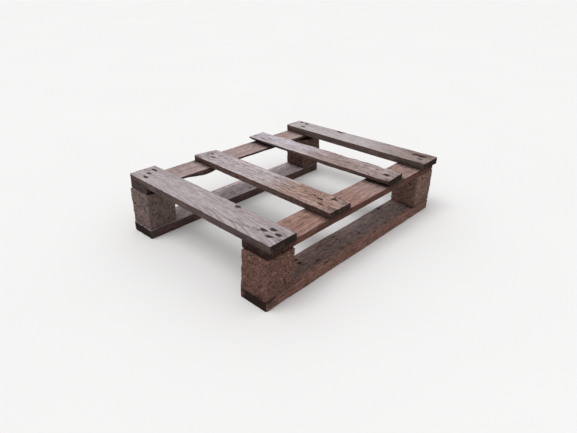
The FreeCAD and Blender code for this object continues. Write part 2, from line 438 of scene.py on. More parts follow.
def gouge_mark(tree, place, start, end):
    """One long bruise between two places on the face, from 0 to 1. The start's Z is half its width."""
    run = end.vector("SUBTRACT", start)
    run_x, run_y, _ = run.xyz()
    from_x, from_y, _ = place.vector("SUBTRACT", start).xyz()
    half_width = start.xyz()[2]
    share = ((from_x * run_x + from_y * run_y) / (run_x * run_x + run_y * run_y)).between(0.0, 1.0)
    off_x = from_x - share * run_x
    off_y = from_y - share * run_y
    rim = noise(tree, place, 300.0, 2.0) - 0.5
    return ((off_x * off_x + off_y * off_y) ** 0.5 / half_width.most(1e-5) + rim * 0.9).step(1.15, 0.6)


def between_corners(tree, wires, place):
    """Where a place in the board's own lengths lies between the board's four corners, in plan."""
    along, across, _ = place.xyz()
    share_along = along / wires["Length"] + 0.5
    share_across = across / wires["Width"] + 0.5
    near = wires["Near Left"].scaled(1.0 - share_along).vector("ADD", wires["Near Right"].scaled(share_along))
    far = wires["Far Left"].scaled(1.0 - share_along).vector("ADD", wires["Far Right"].scaled(share_along))
    return near.scaled(1.0 - share_across).vector("ADD", far.scaled(share_across))


def rounded_box(values, sizes, arris):
    """A box's place with its edges rounded to the arris, and how far each point lay beyond, in arrises."""
    offsets, kept = [], []
    for value, whole in zip(values, sizes):
        reach = whole * 0.5 - arris
        inner = value.between(-reach, reach)
        kept.append(inner)
        offsets.append(value - inner)
    lean_out = (offsets[0] * offsets[0] + offsets[1] * offsets[1] + offsets[2] * offsets[2]) ** 0.5
    pull = arris / lean_out.most(THINNEST)
    return [inner + offset * pull for inner, offset in zip(kept, offsets)], lean_out / arris


def sawn_board_tree():
    tree, wires, leaving = new_tree("sawn_board", "GeometryNodeTree", BOARD_INPUTS, [("Board", "Geometry")])
    length, width, thickness = wires["Length"], wires["Width"], wires["Thickness"]
    seed = wires["Seed"]
    cube = add_node(tree, "GeometryNodeMeshCube",
                    {"Size": (1.0, 1.0, 1.0), "Vertices X": wires["Cells Along"],
                     "Vertices Y": wires["Cells Across"], "Vertices Z": wires["Cells Up"]})
    unit_along, unit_across, unit_up = read(tree, "GeometryNodeInputPosition").xyz()
    # Cells crowd towards the ends, where the corners are rounded.
    half_way = 1.0 - unit_along.size() * 2.0
    along = unit_along.sign() * (1.0 - half_way ** 1.25) * 0.5 * length
    across = unit_across * width
    up = unit_up * thickness
    boxed = point(tree, along, across, up)
    knocks = noise(tree, moved_by(tree, boxed, seed, 0.0), 38.0, 3.0, 0.6)
    big_knocks = noise(tree, moved_by(tree, boxed, seed, 3.0), 9.0, 1.0)
    arris = wires["Arris"] * (0.35 + knocks * 0.9 + big_knocks.step(0.55, 0.72) * 0.9)
    (along, across, up), lean_out = rounded_box((along, across, up), (length, width, thickness), arris)
    worn = lean_out.step(1.0, 1.28)

    # The long edges wander inwards, and the ends are sawn a little out of true. Both shifts fade slowly
    # towards the middle of the board, so that no row of points overtakes the next and folds the mesh.
    edge_place = point(tree, along, seed, across.sign() * 4.0)
    slow = noise(tree, stretched(edge_place, 14.0, 1.0, 1.0), 1.0, 3.0)
    near_side = across.sign().step(-1.0, 1.0, 1.0, 0.0)
    wander = near_side * wires["Near Wander"] + (1.0 - near_side) * wires["Far Wander"]
    edge_share = (across.size() * 2.0 / width) ** 2.0
    bite_place, bite_reach, bite_depth = wires["Far Bite"].xyz()
    bite_away = (along - bite_place) / bite_reach
    bite = (bite_away * bite_away * -1.0).math("EXPONENT") * bite_depth * (1.0 - near_side)
    across = across - across.sign() * edge_share * (slow.step(0.3, 0.75) * wander + bite)
    end_place = point(tree, seed, across * 60.0, up * 90.0 + along.sign() * 7.0)
    fray = noise(tree, end_place, 1.0, 3.0, 0.7)
    left_side = along.sign().step(-1.0, 1.0, 1.0, 0.0)
    ragged = left_side * wires["Left Ragged"] + (1.0 - left_side) * wires["Right Ragged"]
    end_share = ((along.size() * 2.0 / length).step(0.78, 1.0)) ** 2.0
    radius = left_side * wires["Round Left"] + (1.0 - left_side) * wires["Round Right"]
    into_corner = ((across.size() - width * 0.5 + radius) / radius).between(0.0, 1.0)
    rounding = radius * (1.0 - (1.0 - into_corner * into_corner).most(0.0) ** 0.5)
    along = along - along.sign() * end_share * (fray.step(0.35, 0.8) * ragged + rounding)

    # Wane: the lower near edge is the round outside of the log.
    dip_away = (along - wires["Wane Dip Place"]) / wires["Wane Dip Reach"]
    dip = (dip_away * dip_away * -1.0).math("EXPONENT") * wires["Wane Dip"]
    bumps = (noise(tree, point(tree, along * 24.0, seed, 0.0), 1.0, 3.0) - 0.5) * wires["Wane Height"] * 0.3
    wane = (wires["Wane Height"] + along * wires["Wane Fall"] - dip + bumps).between(0.0, thickness * 0.8)
    left_end = length * -0.5
    wane = wane * along.step(left_end, left_end + WANE_REACH, wires["Wane At End"], 1.0)
    wane_reach = (wane * WANE_SPREAD).most(0.0005)
    from_edge = (across + width * 0.5) / wane_reach
    gone = wane * ((1.0 - from_edge).most(0.0) ** 1.15)
    height = gone + (up / thickness + 0.5) * (thickness - gone)
    underside = (unit_up + 0.5).step(0.2, 0.02)
    barky = (gone / wane.most(0.0005)).step(0.0, 0.2) * wires["Wane Height"].step(0.001, 0.004) * underside

    # A field is worked out again on the points as they are when it is used. So the shape is written down
    # on the plain box first, and every later step reads it from there.
    place = point(tree, along, across, height - thickness * 0.5)
    kept_box = store(tree, out(tree, cube), "board_place", place, "FLOAT_VECTOR")
    kept_box = store(tree, kept_box, "worn", worn)
    kept_box = store(tree, kept_box, "bark", barky)
    kept_box = store(tree, kept_box, "flatness", (1.0 - worn * 0.5) * (1.0 - gone / thickness * 1.15))
    own = stored(tree, "board_place", "FLOAT_VECTOR")
    shaped = placed_at(tree, kept_box, own)
    in_plan = between_corners(tree, wires, own)

    # Each nail leaves a crater, longer along the grain than across it.
    squeezed = add_node(tree, "GeometryNodeTransform",
                        {"Geometry": object_shape(tree, wires["Nail Marks"]), "Scale": wires["Nail Stretch"]})
    nearest = add_node(tree, "GeometryNodeProximity", {0: out(tree, squeezed)}, target_element="POINTS")
    nearest_place = in_plan.vector("MULTIPLY", wires["Nail Stretch"])
    plug(tree, nearest_place, nearest.inputs["Sample Position"])
    normal = read(tree, "GeometryNodeInputNormal")
    upward = normal.xyz()[2]
    facing = upward * wires["Nail Side"]
    torn = noise(tree, stretched(own, 160.0, 260.0, 200.0), 1.0, 2.0) - 0.5
    uneven = noise(tree, nearest_place, 70.0, 1.0).step(0.35, 0.65, 0.75, 1.5)
    mark_share = own.xyz()[0].step(-0.1, 0.1)
    mark_size = wires["Marks Left"] * (1.0 - mark_share) + wires["Marks Right"] * mark_share
    nail_gap = out(tree, nearest, "Distance") * uneven / mark_size + torn * 0.0045
    crater = nail_gap.step(*CRATER_EDGE, 1.0, 0.0) * facing.step(0.5, 0.8)
    stain = nail_gap.step(*STAIN_EDGE, 1.0, 0.0) * facing.step(0.2, 0.7)

    late, knots = growth_rings(tree, dict(wires, Place=own))
    broad = noise(tree, stretched(own, 12.0, 45.0, 45.0), 1.0, 2.0)
    splinters = noise(tree, stretched(own, 30.0, 700.0, 700.0), 1.0, 2.0)
    checks = crack_lines(tree, own, seed).most(end_splits(tree, own, normal, wires["Split To"]))
    noted = store(tree, shaped, "stain", stain)
    noted = store(tree, noted, "checks", checks)
    gouge = gouge_mark(tree, own, wires["Gouge From"], wires["Gouge To"])
    pits = (pit_marks(tree, own, seed) * wires["Pits"]).most(gouge) * upward.step(0.2, 0.7)
    noted = store(tree, noted, "pits", pits)

    # Dirt and painted shade darken the wood where another board or a block lies against this one.
    standing = moved_by(tree, in_plan, 0.0, 0.0, own.xyz()[2] + thickness * 0.5)
    against = add_node(tree, "GeometryNodeProximity", {0: object_shape(tree, wires["Neighbours"])},
                       target_element="FACES")
    plug(tree, standing, against.inputs["Sample Position"])
    drift = noise(tree, stretched(own, 40.0, 90.0, 90.0), 1.0, 3.0, 0.6)
    dirt_and_shade_gap = out(tree, against, "Distance") - (drift - 0.5) * CONTACT_DRIFT
    noted = store(tree, noted, "covered", dirt_and_shade_gap.step(0.0, CONTACT_REACH, 1.0, 0.0))
    sink = (1.0 - late) * wires["Relief"] + (1.0 - broad) * wires["Relief"] * 1.6
    sink = sink + splinters * wires["Relief"] * 0.7 + checks * wires["Checks"] - knots * wires["Relief"] * 1.2
    # Worn arrises and thin waney edges have little relief left, and deep relief would fold the mesh there.
    sink = (sink.most(0.0) + crater * CRATER_DEPTH + pits * PIT_DEPTH) * stored(tree, "flatness").most(0.0)
    cut_in = placed_at(tree, noted, own.vector("SUBTRACT", normal.scaled(sink)))

    # To the board's four corners.
    final_place = read(tree, "GeometryNodeInputPosition")
    laid = moved_by(tree, between_corners(tree, wires, final_place), 0.0, 0.0,
                    final_place.xyz()[2] + thickness * 0.5)
    carried = placed_at(tree, cut_in, laid)
    smooth = add_node(tree, "GeometryNodeSetShadeSmooth", {"Geometry": carried})
    leave_finished(tree, out(tree, smooth), wires["Finish"], leaving)
    return tree


SAWN_BOARD = sawn_board_tree()
print("board tree nodes", len(SAWN_BOARD.nodes))

# %% [markdown]
# ## Running a tree once
#
# A modifier runs the tree on an empty object, and the result is kept as a plain mesh with its stored
# values. The modifier and the empty object then go, so nothing live is left on the piece.

# %% From tree to plain mesh


def make_piece(tree, name, values):
    """Runs a geometry tree with these inputs and returns its result as a plain mesh object."""
    holder = in_scene(name + "_making", bpy.data.meshes.new(name + "_making"))
    making = holder.modifiers.new("making", "NODES")
    making.node_group = tree
    for item in tree.interface.items_tree:
        if item.in_out == "INPUT" and item.name in values:
            making[item.identifier] = values[item.name]
    graph = bpy.context.evaluated_depsgraph_get()
    mesh = bpy.data.meshes.new_from_object(holder.evaluated_get(graph), preserve_all_data_layers=True,
                                           depsgraph=graph)
    mesh.name = name
    bpy.data.objects.remove(holder)
    return in_scene(name, mesh)


def settle(piece, slot, *nodes):
    """Puts the piece under the root body and hides the frame's nodes that it stands for. The slot is not
    used.
    """
    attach(piece, "root")
    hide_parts(*nodes)


print("ready to make pieces")

# %% [markdown]
# ## Reading places from the frame
#
# The frame's meshes say where everything lies. A board's plan corners are its furthest points along the
# four diagonals, and a nail's place is the middle of one of the small solids in its group.

# %% Corners and nail places


def plan_corners(node):
    """The near left, near right, far right and far left corners of a board along X, at its underside."""
    low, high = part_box(node)
    middle = (Vector(low) + Vector(high)) / 2.0
    points = [vertex.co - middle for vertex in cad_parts[node].data.vertices]
    corners = []
    for side, depth in ((-1, -1), (1, -1), (1, 1), (-1, 1)):
        reach = max(points, key=lambda p: side * p.x + depth * p.y)
        corners.append(Vector((middle.x + reach.x, middle.y + reach.y, low[2])))
    return corners


def long_corners(node):
    """The same for a board along Y. Its left end is towards the front and its near side is on +X."""
    low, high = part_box(node)
    return [Vector((high[0], low[1], low[2])), Vector((high[0], high[1], low[2])),
            Vector((low[0], high[1], low[2])), Vector((low[0], low[1], low[2]))]


NAIL_REACH = 8.5 * MM   # points nearer than this, in plan, belong to one nail


def nail_places(node):
    """Where each nail of a group stands: (x, y, lowest, highest)."""
    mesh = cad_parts[node].data
    clumps = []
    for vertex in mesh.vertices:
        for clump in clumps:
            if math.hypot(clump[0] - vertex.co.x, clump[1] - vertex.co.y) < NAIL_REACH:
                clump[2] = min(clump[2], vertex.co.z)
                clump[3] = max(clump[3], vertex.co.z)
                clump[4].append((vertex.co.x, vertex.co.y))
                break
        else:
            clumps.append([vertex.co.x, vertex.co.y, vertex.co.z, vertex.co.z, [(vertex.co.x, vertex.co.y)]])
    places = []
    for clump in clumps:
        xs = [x for x, _ in clump[4]]
        ys = [y for _, y in clump[4]]
        places.append(((min(xs) + max(xs)) / 2.0, (min(ys) + max(ys)) / 2.0, clump[2], clump[3]))
    return places


def points_object(name, places):
    """An object that only holds points, for a tree to read."""
    mesh = bpy.data.meshes.new(name)
    mesh.from_pydata(places, [], [])
    return in_scene(name, mesh)


def joined_nodes(name, start):
    """One object that holds the frame's meshes of every node whose name begins so."""
    gathered = bmesh.new()
    for node in sorted(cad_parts):
        if node.startswith(start):
            gathered.from_mesh(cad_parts[node].data)
    mesh = bpy.data.meshes.new(name)
    gathered.to_mesh(mesh)
    gathered.free()
    return in_scene(name, mesh)


NAIL_NODES = [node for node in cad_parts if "nails" in node]
NAILS = {node: nail_places(node) for node in sorted(NAIL_NODES)}


def marks_of(node, belongs):
    """The places of the nails whose group's name passes the test, as an object for the board tree."""
    heads = [places for name, places in NAILS.items() if belongs(name)]
    return points_object(node + "_marks", [(x, y, 0.0) for places in heads for x, y, _, _ in places])


print("nails", {node: len(places) for node, places in NAILS.items()})

# %% [markdown]
# ## The ring pattern and the fibres as shader groups
#
# The finish repeats the sums that shaped the board, so that the dark late wood in the colour sits on the
# ridges in the mesh. A second group gives the fine fibres, the longer streaks and the broad blotches that
# sun and rain leave on every old board.

# %% Shader groups for wood


def ring_group():
    tree, wires, leaving = new_tree("growth_rings", "ShaderNodeTree", RING_INPUTS,
                                    [("Late Wood", "Float"), ("Knots", "Float")])
    for socket, value in zip(leaving.inputs, growth_rings(tree, wires)):
        plug(tree, value, socket)
    return tree


def fibre_group():
    tree, wires, leaving = new_tree("fibres", "ShaderNodeTree",
                                    [("Place", "Vector", None), ("Seed", "Float", 0.0)],
                                    [("Fibres", "Float"), ("Streaks", "Float"), ("Blotches", "Float")])
    seed = wires["Seed"]
    place = moved_by(tree, wires["Place"], seed, seed * 1.3, seed * 0.4)
    # How often each pattern repeats in a metre, along the board and across it.
    for socket, (along, across) in zip(leaving.inputs, ((22.0, 1300.0), (6.0, 260.0), (9.0, 26.0))):
        plug(tree, noise(tree, stretched(place, along, across, across), 1.0, 3.0, 0.6), socket)
    return tree


def mixed(tree, share, first, second, blend="MIX"):
    """Two colours mixed, from first at 0 to second at 1."""
    made = add_node(tree, "ShaderNodeMix", data_type="RGBA", blend_type=blend)
    for key, value in ((0, share), (6, first), (7, second)):
        plug(tree, value, made.inputs[key])
    return out(tree, made, 2)


def colour(red, green, blue):
    return (red, green, blue, 1.0)


BARE_WOOD_AND_HIGHLIGHT = colour(0.66, 0.60, 0.57)
SOIL_AND_SHADE = colour(0.034, 0.022, 0.018)
KNOT = colour(0.032, 0.017, 0.013)
RUST_STAIN = colour(0.02, 0.012, 0.010)
SHADOW = colour(0.022, 0.015, 0.013)
WHITE = colour(1.0, 1.0, 1.0)
RING_LINE = colour(0.42, 0.38, 0.40)    # how much of each colour a late-wood line lets through
END_DIRT_REACH = 70.0 * MM


def weather_group():
    """Silver film over fresh wood, side faces darkened by dirt and painted shade, bruised ends darkened
    with painted shade, worn arrises rubbed pale with a painted highlight, stains and checks.
    """
    tree, wires, leaving = new_tree(
        "weathering", "ShaderNodeTree",
        [("Place", "Vector", None), ("Seed", "Float", 0.0),
         ("Late Wood", "Float", 0.0), ("Knots", "Float", 0.0),
         ("Fibres", "Float", 0.5), ("Streaks", "Float", 0.5), ("Blotches", "Float", 0.5),
         ("Early Colour", "Color", None), ("Late Colour", "Color", None), ("Film Colour", "Color", None),
         ("Side Colour And Shade", "Color", None), ("End Colour And Shade", "Color", None), ("Under Colour", "Color", None),
         ("Film Left", "Float", 0.9), ("Film Right", "Float", 0.6), ("Film Turn", "Float", 0.0),
         ("Film Blend", "Float", 0.08), ("Grime", "Float", 0.3), ("Bare Edges And Highlight", "Float", 0.5),
         ("Lines Left", "Float", 0.3), ("Lines Right", "Float", 0.3), ("Band From", "Float", -1.0),
         ("Half Length", "Float", 9.0), ("End Dirt", "Float", 0.5),
         ("Mottle", "Float", 0.5), ("Contact Dirt And Shade", "Float", 0.6),
         ("Board Axis", "Vector", (1.0, 0.0, 0.0))],
        [("Colour", "Color"), ("Roughness", "Float"), ("Height", "Float")])
    place, seed = wires["Place"], wires["Seed"]
    late, fibres = wires["Late Wood"], wires["Fibres"]
    streaks, blotches = wires["Streaks"], wires["Blotches"]
    along, across, _ = place.xyz()
    faces = read(tree, "ShaderNodeNewGeometry", "Normal")
    upward = faces.xyz()[2]
    is_end = faces.vector("DOT_PRODUCT", wires["Board Axis"])
    is_end = Wire(tree, is_end.socket.node.outputs["Value"]).size().step(0.6, 0.85)
    top = upward.step(0.25, 0.75)
    under = upward.step(-0.25, -0.75)
    seeded = moved_by(tree, place, seed, 5.0, 2.0)

    wood = mixed(tree, late * 0.75, wires["Early Colour"], wires["Late Colour"])
    wood = mixed(tree, streaks.step(0.3, 0.7) * 0.45, wood, wires["Late Colour"])
    share = along.step(wires["Film Turn"] - wires["Film Blend"], wires["Film Turn"] + wires["Film Blend"])
    film = wires["Film Left"] * (1.0 - share) + wires["Film Right"] * share
    film = film + (blotches - 0.5) * 1.1 * (1.05 - film) + (streaks - 0.5) * 0.35 - late * 0.22
    ring_lines = wires["Lines Left"] * (1.0 - share) + wires["Lines Right"] * share
    lines = mixed(tree, late * ring_lines * blotches.step(0.3, 0.62, 0.35, 1.25), WHITE, RING_LINE)
    aged = mixed(tree, 1.0, wires["Film Colour"], lines, "MULTIPLY")
    silver = mixed(tree, film.between(0.0, 1.0), wood, aged)

    band = (across + (blotches - 0.5) * 0.03).step(wires["Band From"] + 0.005, wires["Band From"] - 0.005)
    silver = mixed(tree, band * 0.8, silver, mixed(tree, 0.5, wires["Side Colour And Shade"], wires["Early Colour"]))
    # Side faces take a darker colour than the top: partly dirt, partly painted shade.
    side_grain = late * 0.35 + streaks.step(0.45, 0.7) * 0.35
    sides_and_shade = mixed(tree, side_grain, wires["Side Colour And Shade"], wires["End Colour And Shade"])
    sides_and_shade = mixed(tree, blotches.step(0.5, 0.75) * 0.5, sides_and_shade, wires["Late Colour"])
    shade = mixed(tree, top, sides_and_shade, silver)
    shade = mixed(tree, under, shade, mixed(tree, late * 0.5, wires["Under Colour"], wires["End Colour And Shade"]))
    # End faces take a near-black colour: dark end grain with painted shade.
    end_grain_and_shade = mixed(tree, blotches.step(0.45, 0.75) * 0.4 + late * 0.15, wires["End Colour And Shade"],
                      wires["Side Colour And Shade"])
    shade = mixed(tree, is_end, shade, end_grain_and_shade)

    # Fibres lighten and darken everything a little.
    mottle = noise(tree, stretched(seeded, 50.0, 130.0, 130.0), 1.0, 4.0, 0.7) - 0.5
    grit = noise(tree, stretched(seeded, 170.0, 330.0, 330.0), 1.0, 2.0, 0.6).step(0.6, 0.75)
    tone = 1.0 + (fibres - 0.5) * 0.8 + (streaks - 0.5) * 0.65 + (blotches - 0.5) * 0.45
    tone = (tone + mottle * wires["Mottle"] * 2.2 - grit * wires["Mottle"] * 0.5).most(0.15)
    shade = mixed(tree, 1.0, shade, point(tree, tone, tone, tone), "MULTIPLY")

    masks = ("worn", "stain", "checks", "bark", "pits", "covered")
    worn, stain, checks, bark, pits, covered = [marked(tree, name) for name in masks]
    # Worn top arrises are lightened: partly rubbed-back wood, partly a painted highlight.
    rubbed_and_highlit = noise(tree, seeded, 70.0, 3.0, 0.6).step(0.42, 0.6)
    bare_and_highlight = worn * rubbed_and_highlit * wires["Bare Edges And Highlight"] * (upward * 1.6).between(0.0, 1.0) * (1.0 - is_end)
    shade = mixed(tree, bare_and_highlight, shade, mixed(tree, 0.5, wires["Film Colour"], BARE_WOOD_AND_HIGHLIGHT))
    soil_and_darkening = noise(tree, stretched(seeded, 28.0, 60.0, 60.0), 1.0, 4.0, 0.65)
    half = wires["Half Length"]
    near_end = along.size().step(half - END_DIRT_REACH, half + 0.01) * wires["End Dirt"]
    soil_and_darkening = (soil_and_darkening + near_end * 0.22).step(0.52, 0.78) * (wires["Grime"] + near_end * 0.4)
    # Where another piece lies close, the wood is darkened with dirt and painted shade.
    soil_and_darkening = (soil_and_darkening + covered * wires["Contact Dirt And Shade"]).between(0.0, 0.95) * (1.0 - is_end * 0.8)
    for share, spoilt in ((soil_and_darkening, SOIL_AND_SHADE), (wires["Knots"] * 0.92, KNOT), (stain * 0.93, RUST_STAIN),
                          (checks * 0.85, SHADOW), (pits * 0.85, SHADOW), (bark * 0.7, SHADOW)):
        shade = mixed(tree, share, shade, spoilt)
    plug(tree, shade, leaving.inputs[0])
    rough = (0.93 - late * 0.1 - (fibres - 0.5) * 0.2 + soil_and_darkening * 0.05).between(0.55, 1.0)
    plug(tree, rough, leaving.inputs[1])
    height = late * 0.00022 + (fibres - 0.5) * 0.0005 + (streaks - 0.5) * 0.0004 - checks * 0.0008
    plug(tree, height, leaving.inputs[2])
    return tree


RINGS = ring_group()
FIBRES = fibre_group()
WEATHER = weather_group()
print("wood groups ready")

# %% [markdown]
# ## A finish for each board
#
# All boards use the same groups with their own values. The deck has lain in the weather and gone silver,
# except where loads rub it back to brown. The stringers are sheltered and stay tan, and the bottom boards
# have soaked up the dirt of the floor. Principled BSDF stays in the material, where its plain values are.

# %% Board finishes


def group_node(tree, group, values):
    made = tree.nodes.new("ShaderNodeGroup")
    made.node_tree = group
    for name, value in values.items():
        plug(tree, value, made.inputs[name])
    return made


DULL = 0.08             # old wood hardly shines


def new_finish(name):
    """A material with an empty tree, as (material, tree, its principled shader)."""
    finish = bpy.data.materials.new(name)
    finish.use_nodes = True
    tree = finish.node_tree
    tree.nodes.clear()
    shader = tree.nodes.new("ShaderNodeBsdfPrincipled")
    leaving = tree.nodes.new("ShaderNodeOutputMaterial")
    tree.links.new(shader.outputs[0], leaving.inputs[0])
    return finish, tree, shader


def give_surface(tree, shader, base, rough, height, strength):
    """Connects a finish's colour, roughness and fine relief to its shader."""
    plug(tree, base, shader.inputs["Base Color"])
    plug(tree, rough, shader.inputs["Roughness"])
    relief = add_node(tree, "ShaderNodeBump", {"Height": height, "Distance": 1.0, "Strength": strength})
    plug(tree, out(tree, relief), shader.inputs["Normal"])


def board_finish(name, seed, rings, weather):
    finish, tree, shader = new_finish(name)
    place = place_of_board(tree)
    pattern = group_node(tree, RINGS, dict(rings, Place=place, Seed=seed))
    grain = group_node(tree, FIBRES, {"Place": place, "Seed": seed})
    carried = {"Place": place, "Seed": seed}
    for made, labels in ((pattern, ("Late Wood", "Knots")), (grain, ("Fibres", "Streaks", "Blotches"))):
        for label in labels:
            carried[label] = out(tree, made, label)
    aged = group_node(tree, WEATHER, dict(weather, **carried))
    base, rough, height = [out(tree, aged, label) for label in ("Colour", "Roughness", "Height")]
    give_surface(tree, shader, base, rough, height, 0.8)
    shader.inputs["Specular IOR Level"].default_value = DULL
    return finish


# The side and end colours are partly dirt and dark end grain, partly painted shade; the lightening of worn
# top edges is partly a painted highlight.
DECK_WEATHER = {
    "Early Colour": colour(0.36, 0.25, 0.20), "Late Colour": colour(0.17, 0.105, 0.088),
    "Film Colour": colour(0.45, 0.395, 0.41), "Side Colour And Shade": colour(0.117, 0.072, 0.061),
    "End Colour And Shade": colour(0.018, 0.010, 0.008), "Under Colour": colour(0.12, 0.08, 0.065),
    "Film Left": 0.97, "Film Right": 0.93, "Grime": 0.3, "Bare Edges And Highlight": 0.85,
    "Board Axis": (1.0, 0.0, 0.0),
}
STRINGER_WEATHER = dict(DECK_WEATHER, **{
    "Early Colour": colour(0.36, 0.215, 0.175), "Late Colour": colour(0.17, 0.09, 0.07),
    "Film Colour": colour(0.35, 0.265, 0.25), "Side Colour And Shade": colour(0.130, 0.060, 0.046),
    "Mottle": 0.75, "Contact Dirt And Shade": 0.72, "Film Left": 0.12, "Film Right": 0.55, "Grime": 0.55,
    "Lines Left": 0.5, "Bare Edges And Highlight": 0.25, "Board Axis": (0.0, 1.0, 0.0),
})
RUNNER_WEATHER = dict(STRINGER_WEATHER, **{
    "Early Colour": colour(0.19, 0.105, 0.085), "Late Colour": colour(0.085, 0.052, 0.044),
    "Film Colour": colour(0.175, 0.138, 0.134), "Side Colour And Shade": colour(0.245, 0.132, 0.102),
    "End Colour And Shade": colour(0.007, 0.0045, 0.004), "Under Colour": colour(0.05, 0.04, 0.036),
    "Film Left": 0.55, "Film Right": 0.9, "Film Turn": -0.1, "Film Blend": 0.2, "Grime": 0.6,
    "Bare Edges And Highlight": 0.1, "Contact Dirt And Shade": 0.3,
})
print("finishes described")

# %% [markdown]
# ## The four deck boards
#
# Each deck board has its own pith, knots and wear. The front board is flat-sawn, with long arches along
# its near edge. The second turns from silver to tan where its grain curls round a knot. The third is waney
# underneath, and its far edge follows the log. The back one is plain, with a knot fallen out of its edge.

# %% Deck boards
# Some boards set their own side colour, which is partly painted shade.
DECK_BOARDS = {
    "deck_board_front": {
        "seed": 1.7,
        "rings": {"Pith Across": -0.052, "Pith Depth": 0.05, "Pith Lean": 0.07, "Ring Gap": 0.0036,
                  "Knot A": (0.100, 0.037, 0.007)},
        "weather": {"Film Colour": colour(0.405, 0.36, 0.378), "Side Colour And Shade": colour(0.110, 0.080, 0.077),
                    "Film Turn": 0.03, "Film Blend": 0.06, "Lines Left": 0.12, "Lines Right": 0.5},
        "shape": {"Left Ragged": 0.003, "Round Left": 0.008, "Right Ragged": 0.0008,
                  "Near Wander": 0.001, "Far Wander": 0.0012},
    },
    "deck_board_second": {
        "seed": 4.1,
        "rings": {"Pith Across": 0.085, "Pith Depth": 0.05, "Pith Lean": 0.03, "Ring Gap": 0.0046,
                  "Curl": 0.042, "Curl From": 0.0, "Curl To": 0.12},
        "weather": {"Film Right": 0.28, "Film Turn": 0.07, "Film Blend": 0.07, "Grime": 0.5,
                    "Early Colour": colour(0.435, 0.275, 0.21), "Late Colour": colour(0.10, 0.052, 0.04),
                    "Lines Right": 0.9, "Mottle": 0.9},
        "shape": {"Near Wander": 0.001, "Far Wander": 0.001, "Left Ragged": 0.0015, "Pits": 0.45,
                  "Marks Left": 0.8, "Round Left": 0.007},
    },
    "deck_board_third": {
        "seed": 7.9,
        "rings": {"Pith Across": -0.09, "Pith Depth": 0.06, "Pith Lean": -0.03, "Ring Gap": 0.0044,
                  "Curl": 0.036, "Curl From": -0.05, "Curl To": 0.05, "Knot A": (0.268, -0.006, 0.008)},
        "weather": {"Film Right": 0.42, "Film Turn": -0.03, "Film Blend": 0.08, "Grime": 0.5,
                    "Lines Right": 0.9, "Late Colour": colour(0.12, 0.07, 0.055), "Mottle": 0.8,
                    "Film Colour": colour(0.53, 0.485, 0.525)},
        "shape": {"Near Wander": 0.0008, "Far Wander": 0.011, "Marks Left": 0.45, "Marks Right": 0.75,
                  "Wane Height": 0.0145, "Wane Fall": -0.0105,
                  "Wane Dip": 0.004, "Wane Dip Place": 0.06, "Wane Dip Reach": 0.14,
                  "Left Ragged": 0.002, "Pits": 0.3},
    },
    "deck_board_back": {
        "seed": 11.3,
        "rings": {"Pith Across": 0.08, "Pith Depth": 0.06, "Pith Lean": 0.02, "Ring Gap": 0.0042,
                  "Knot A": (-0.088, 0.035, 0.013), "Knot B": (0.262, 0.010, 0.008)},
        "weather": {"Film Left": 0.97, "Film Right": 0.2, "Film Turn": 0.14, "Film Blend": 0.14,
                    "Lines Left": 0.4, "Lines Right": 0.7, "Grime": 0.45,
                    "Early Colour": colour(0.26, 0.195, 0.175), "Film Colour": colour(0.49, 0.45, 0.455),
                    "Side Colour And Shade": colour(0.117, 0.083, 0.074)},
        "shape": {"Near Wander": 0.0008, "Far Wander": 0.0014, "Far Bite": (-0.088, 0.012, 0.004),
                  "Gouge From": (0.236, 0.019, 0.007), "Gouge To": (0.272, 0.015, 0.0)},
    },
}
CELL_ALONG = 2.5 * MM
CELL_ACROSS = 1.1 * MM
CELL_UP = 1.3 * MM


def board_sizes(corners, low, high):
    """The tree's corner and size inputs for a board between these heights."""
    near_left, near_right, far_right, far_left = corners
    length = ((near_right - near_left).length + (far_right - far_left).length) / 2.0
    width = ((far_left - near_left).length + (far_right - near_right).length) / 2.0
    thickness = high - low
    return {"Near Left": near_left, "Near Right": near_right, "Far Right": far_right, "Far Left": far_left,
            "Length": length, "Width": width, "Thickness": thickness,
            "Cells Along": int(length / CELL_ALONG), "Cells Across": int(width / CELL_ACROSS),
            "Cells Up": int(thickness / CELL_UP)}


def lay_board(node, corners, plan, weather, slot, marks, neighbours, shape):
    low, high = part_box(node)
    values = dict(board_sizes(corners, low[2], high[2]), **plan["rings"])
    aged = dict(weather, **plan["weather"])
    aged["Half Length"] = values["Length"] / 2.0
    finish = board_finish(node + "_finish", plan["seed"], plan["rings"], aged)
    values.update(shape)
    values.update(plan["shape"])
    values.update({"Seed": plan["seed"], "Nail Marks": marks, "Neighbours": neighbours, "Finish": finish})
    piece = make_piece(SAWN_BOARD, node.replace("_", " ").title().replace(" ", "_"), values)
    settle(piece, slot, node)
    print(node, "faces", len(piece.data.polygons))
    return piece


stringers = joined_nodes("stringers", "stringer")
for node, plan in DECK_BOARDS.items():
    row = node.split("_")[2]
    marks = marks_of(node, lambda name: name.startswith("deck_nails_" + row))
    lay_board(node, plan_corners(node), plan, DECK_WEATHER, "deck_wood", marks, stringers, {})
    bpy.data.objects.remove(marks)
bpy.data.objects.remove(stringers)
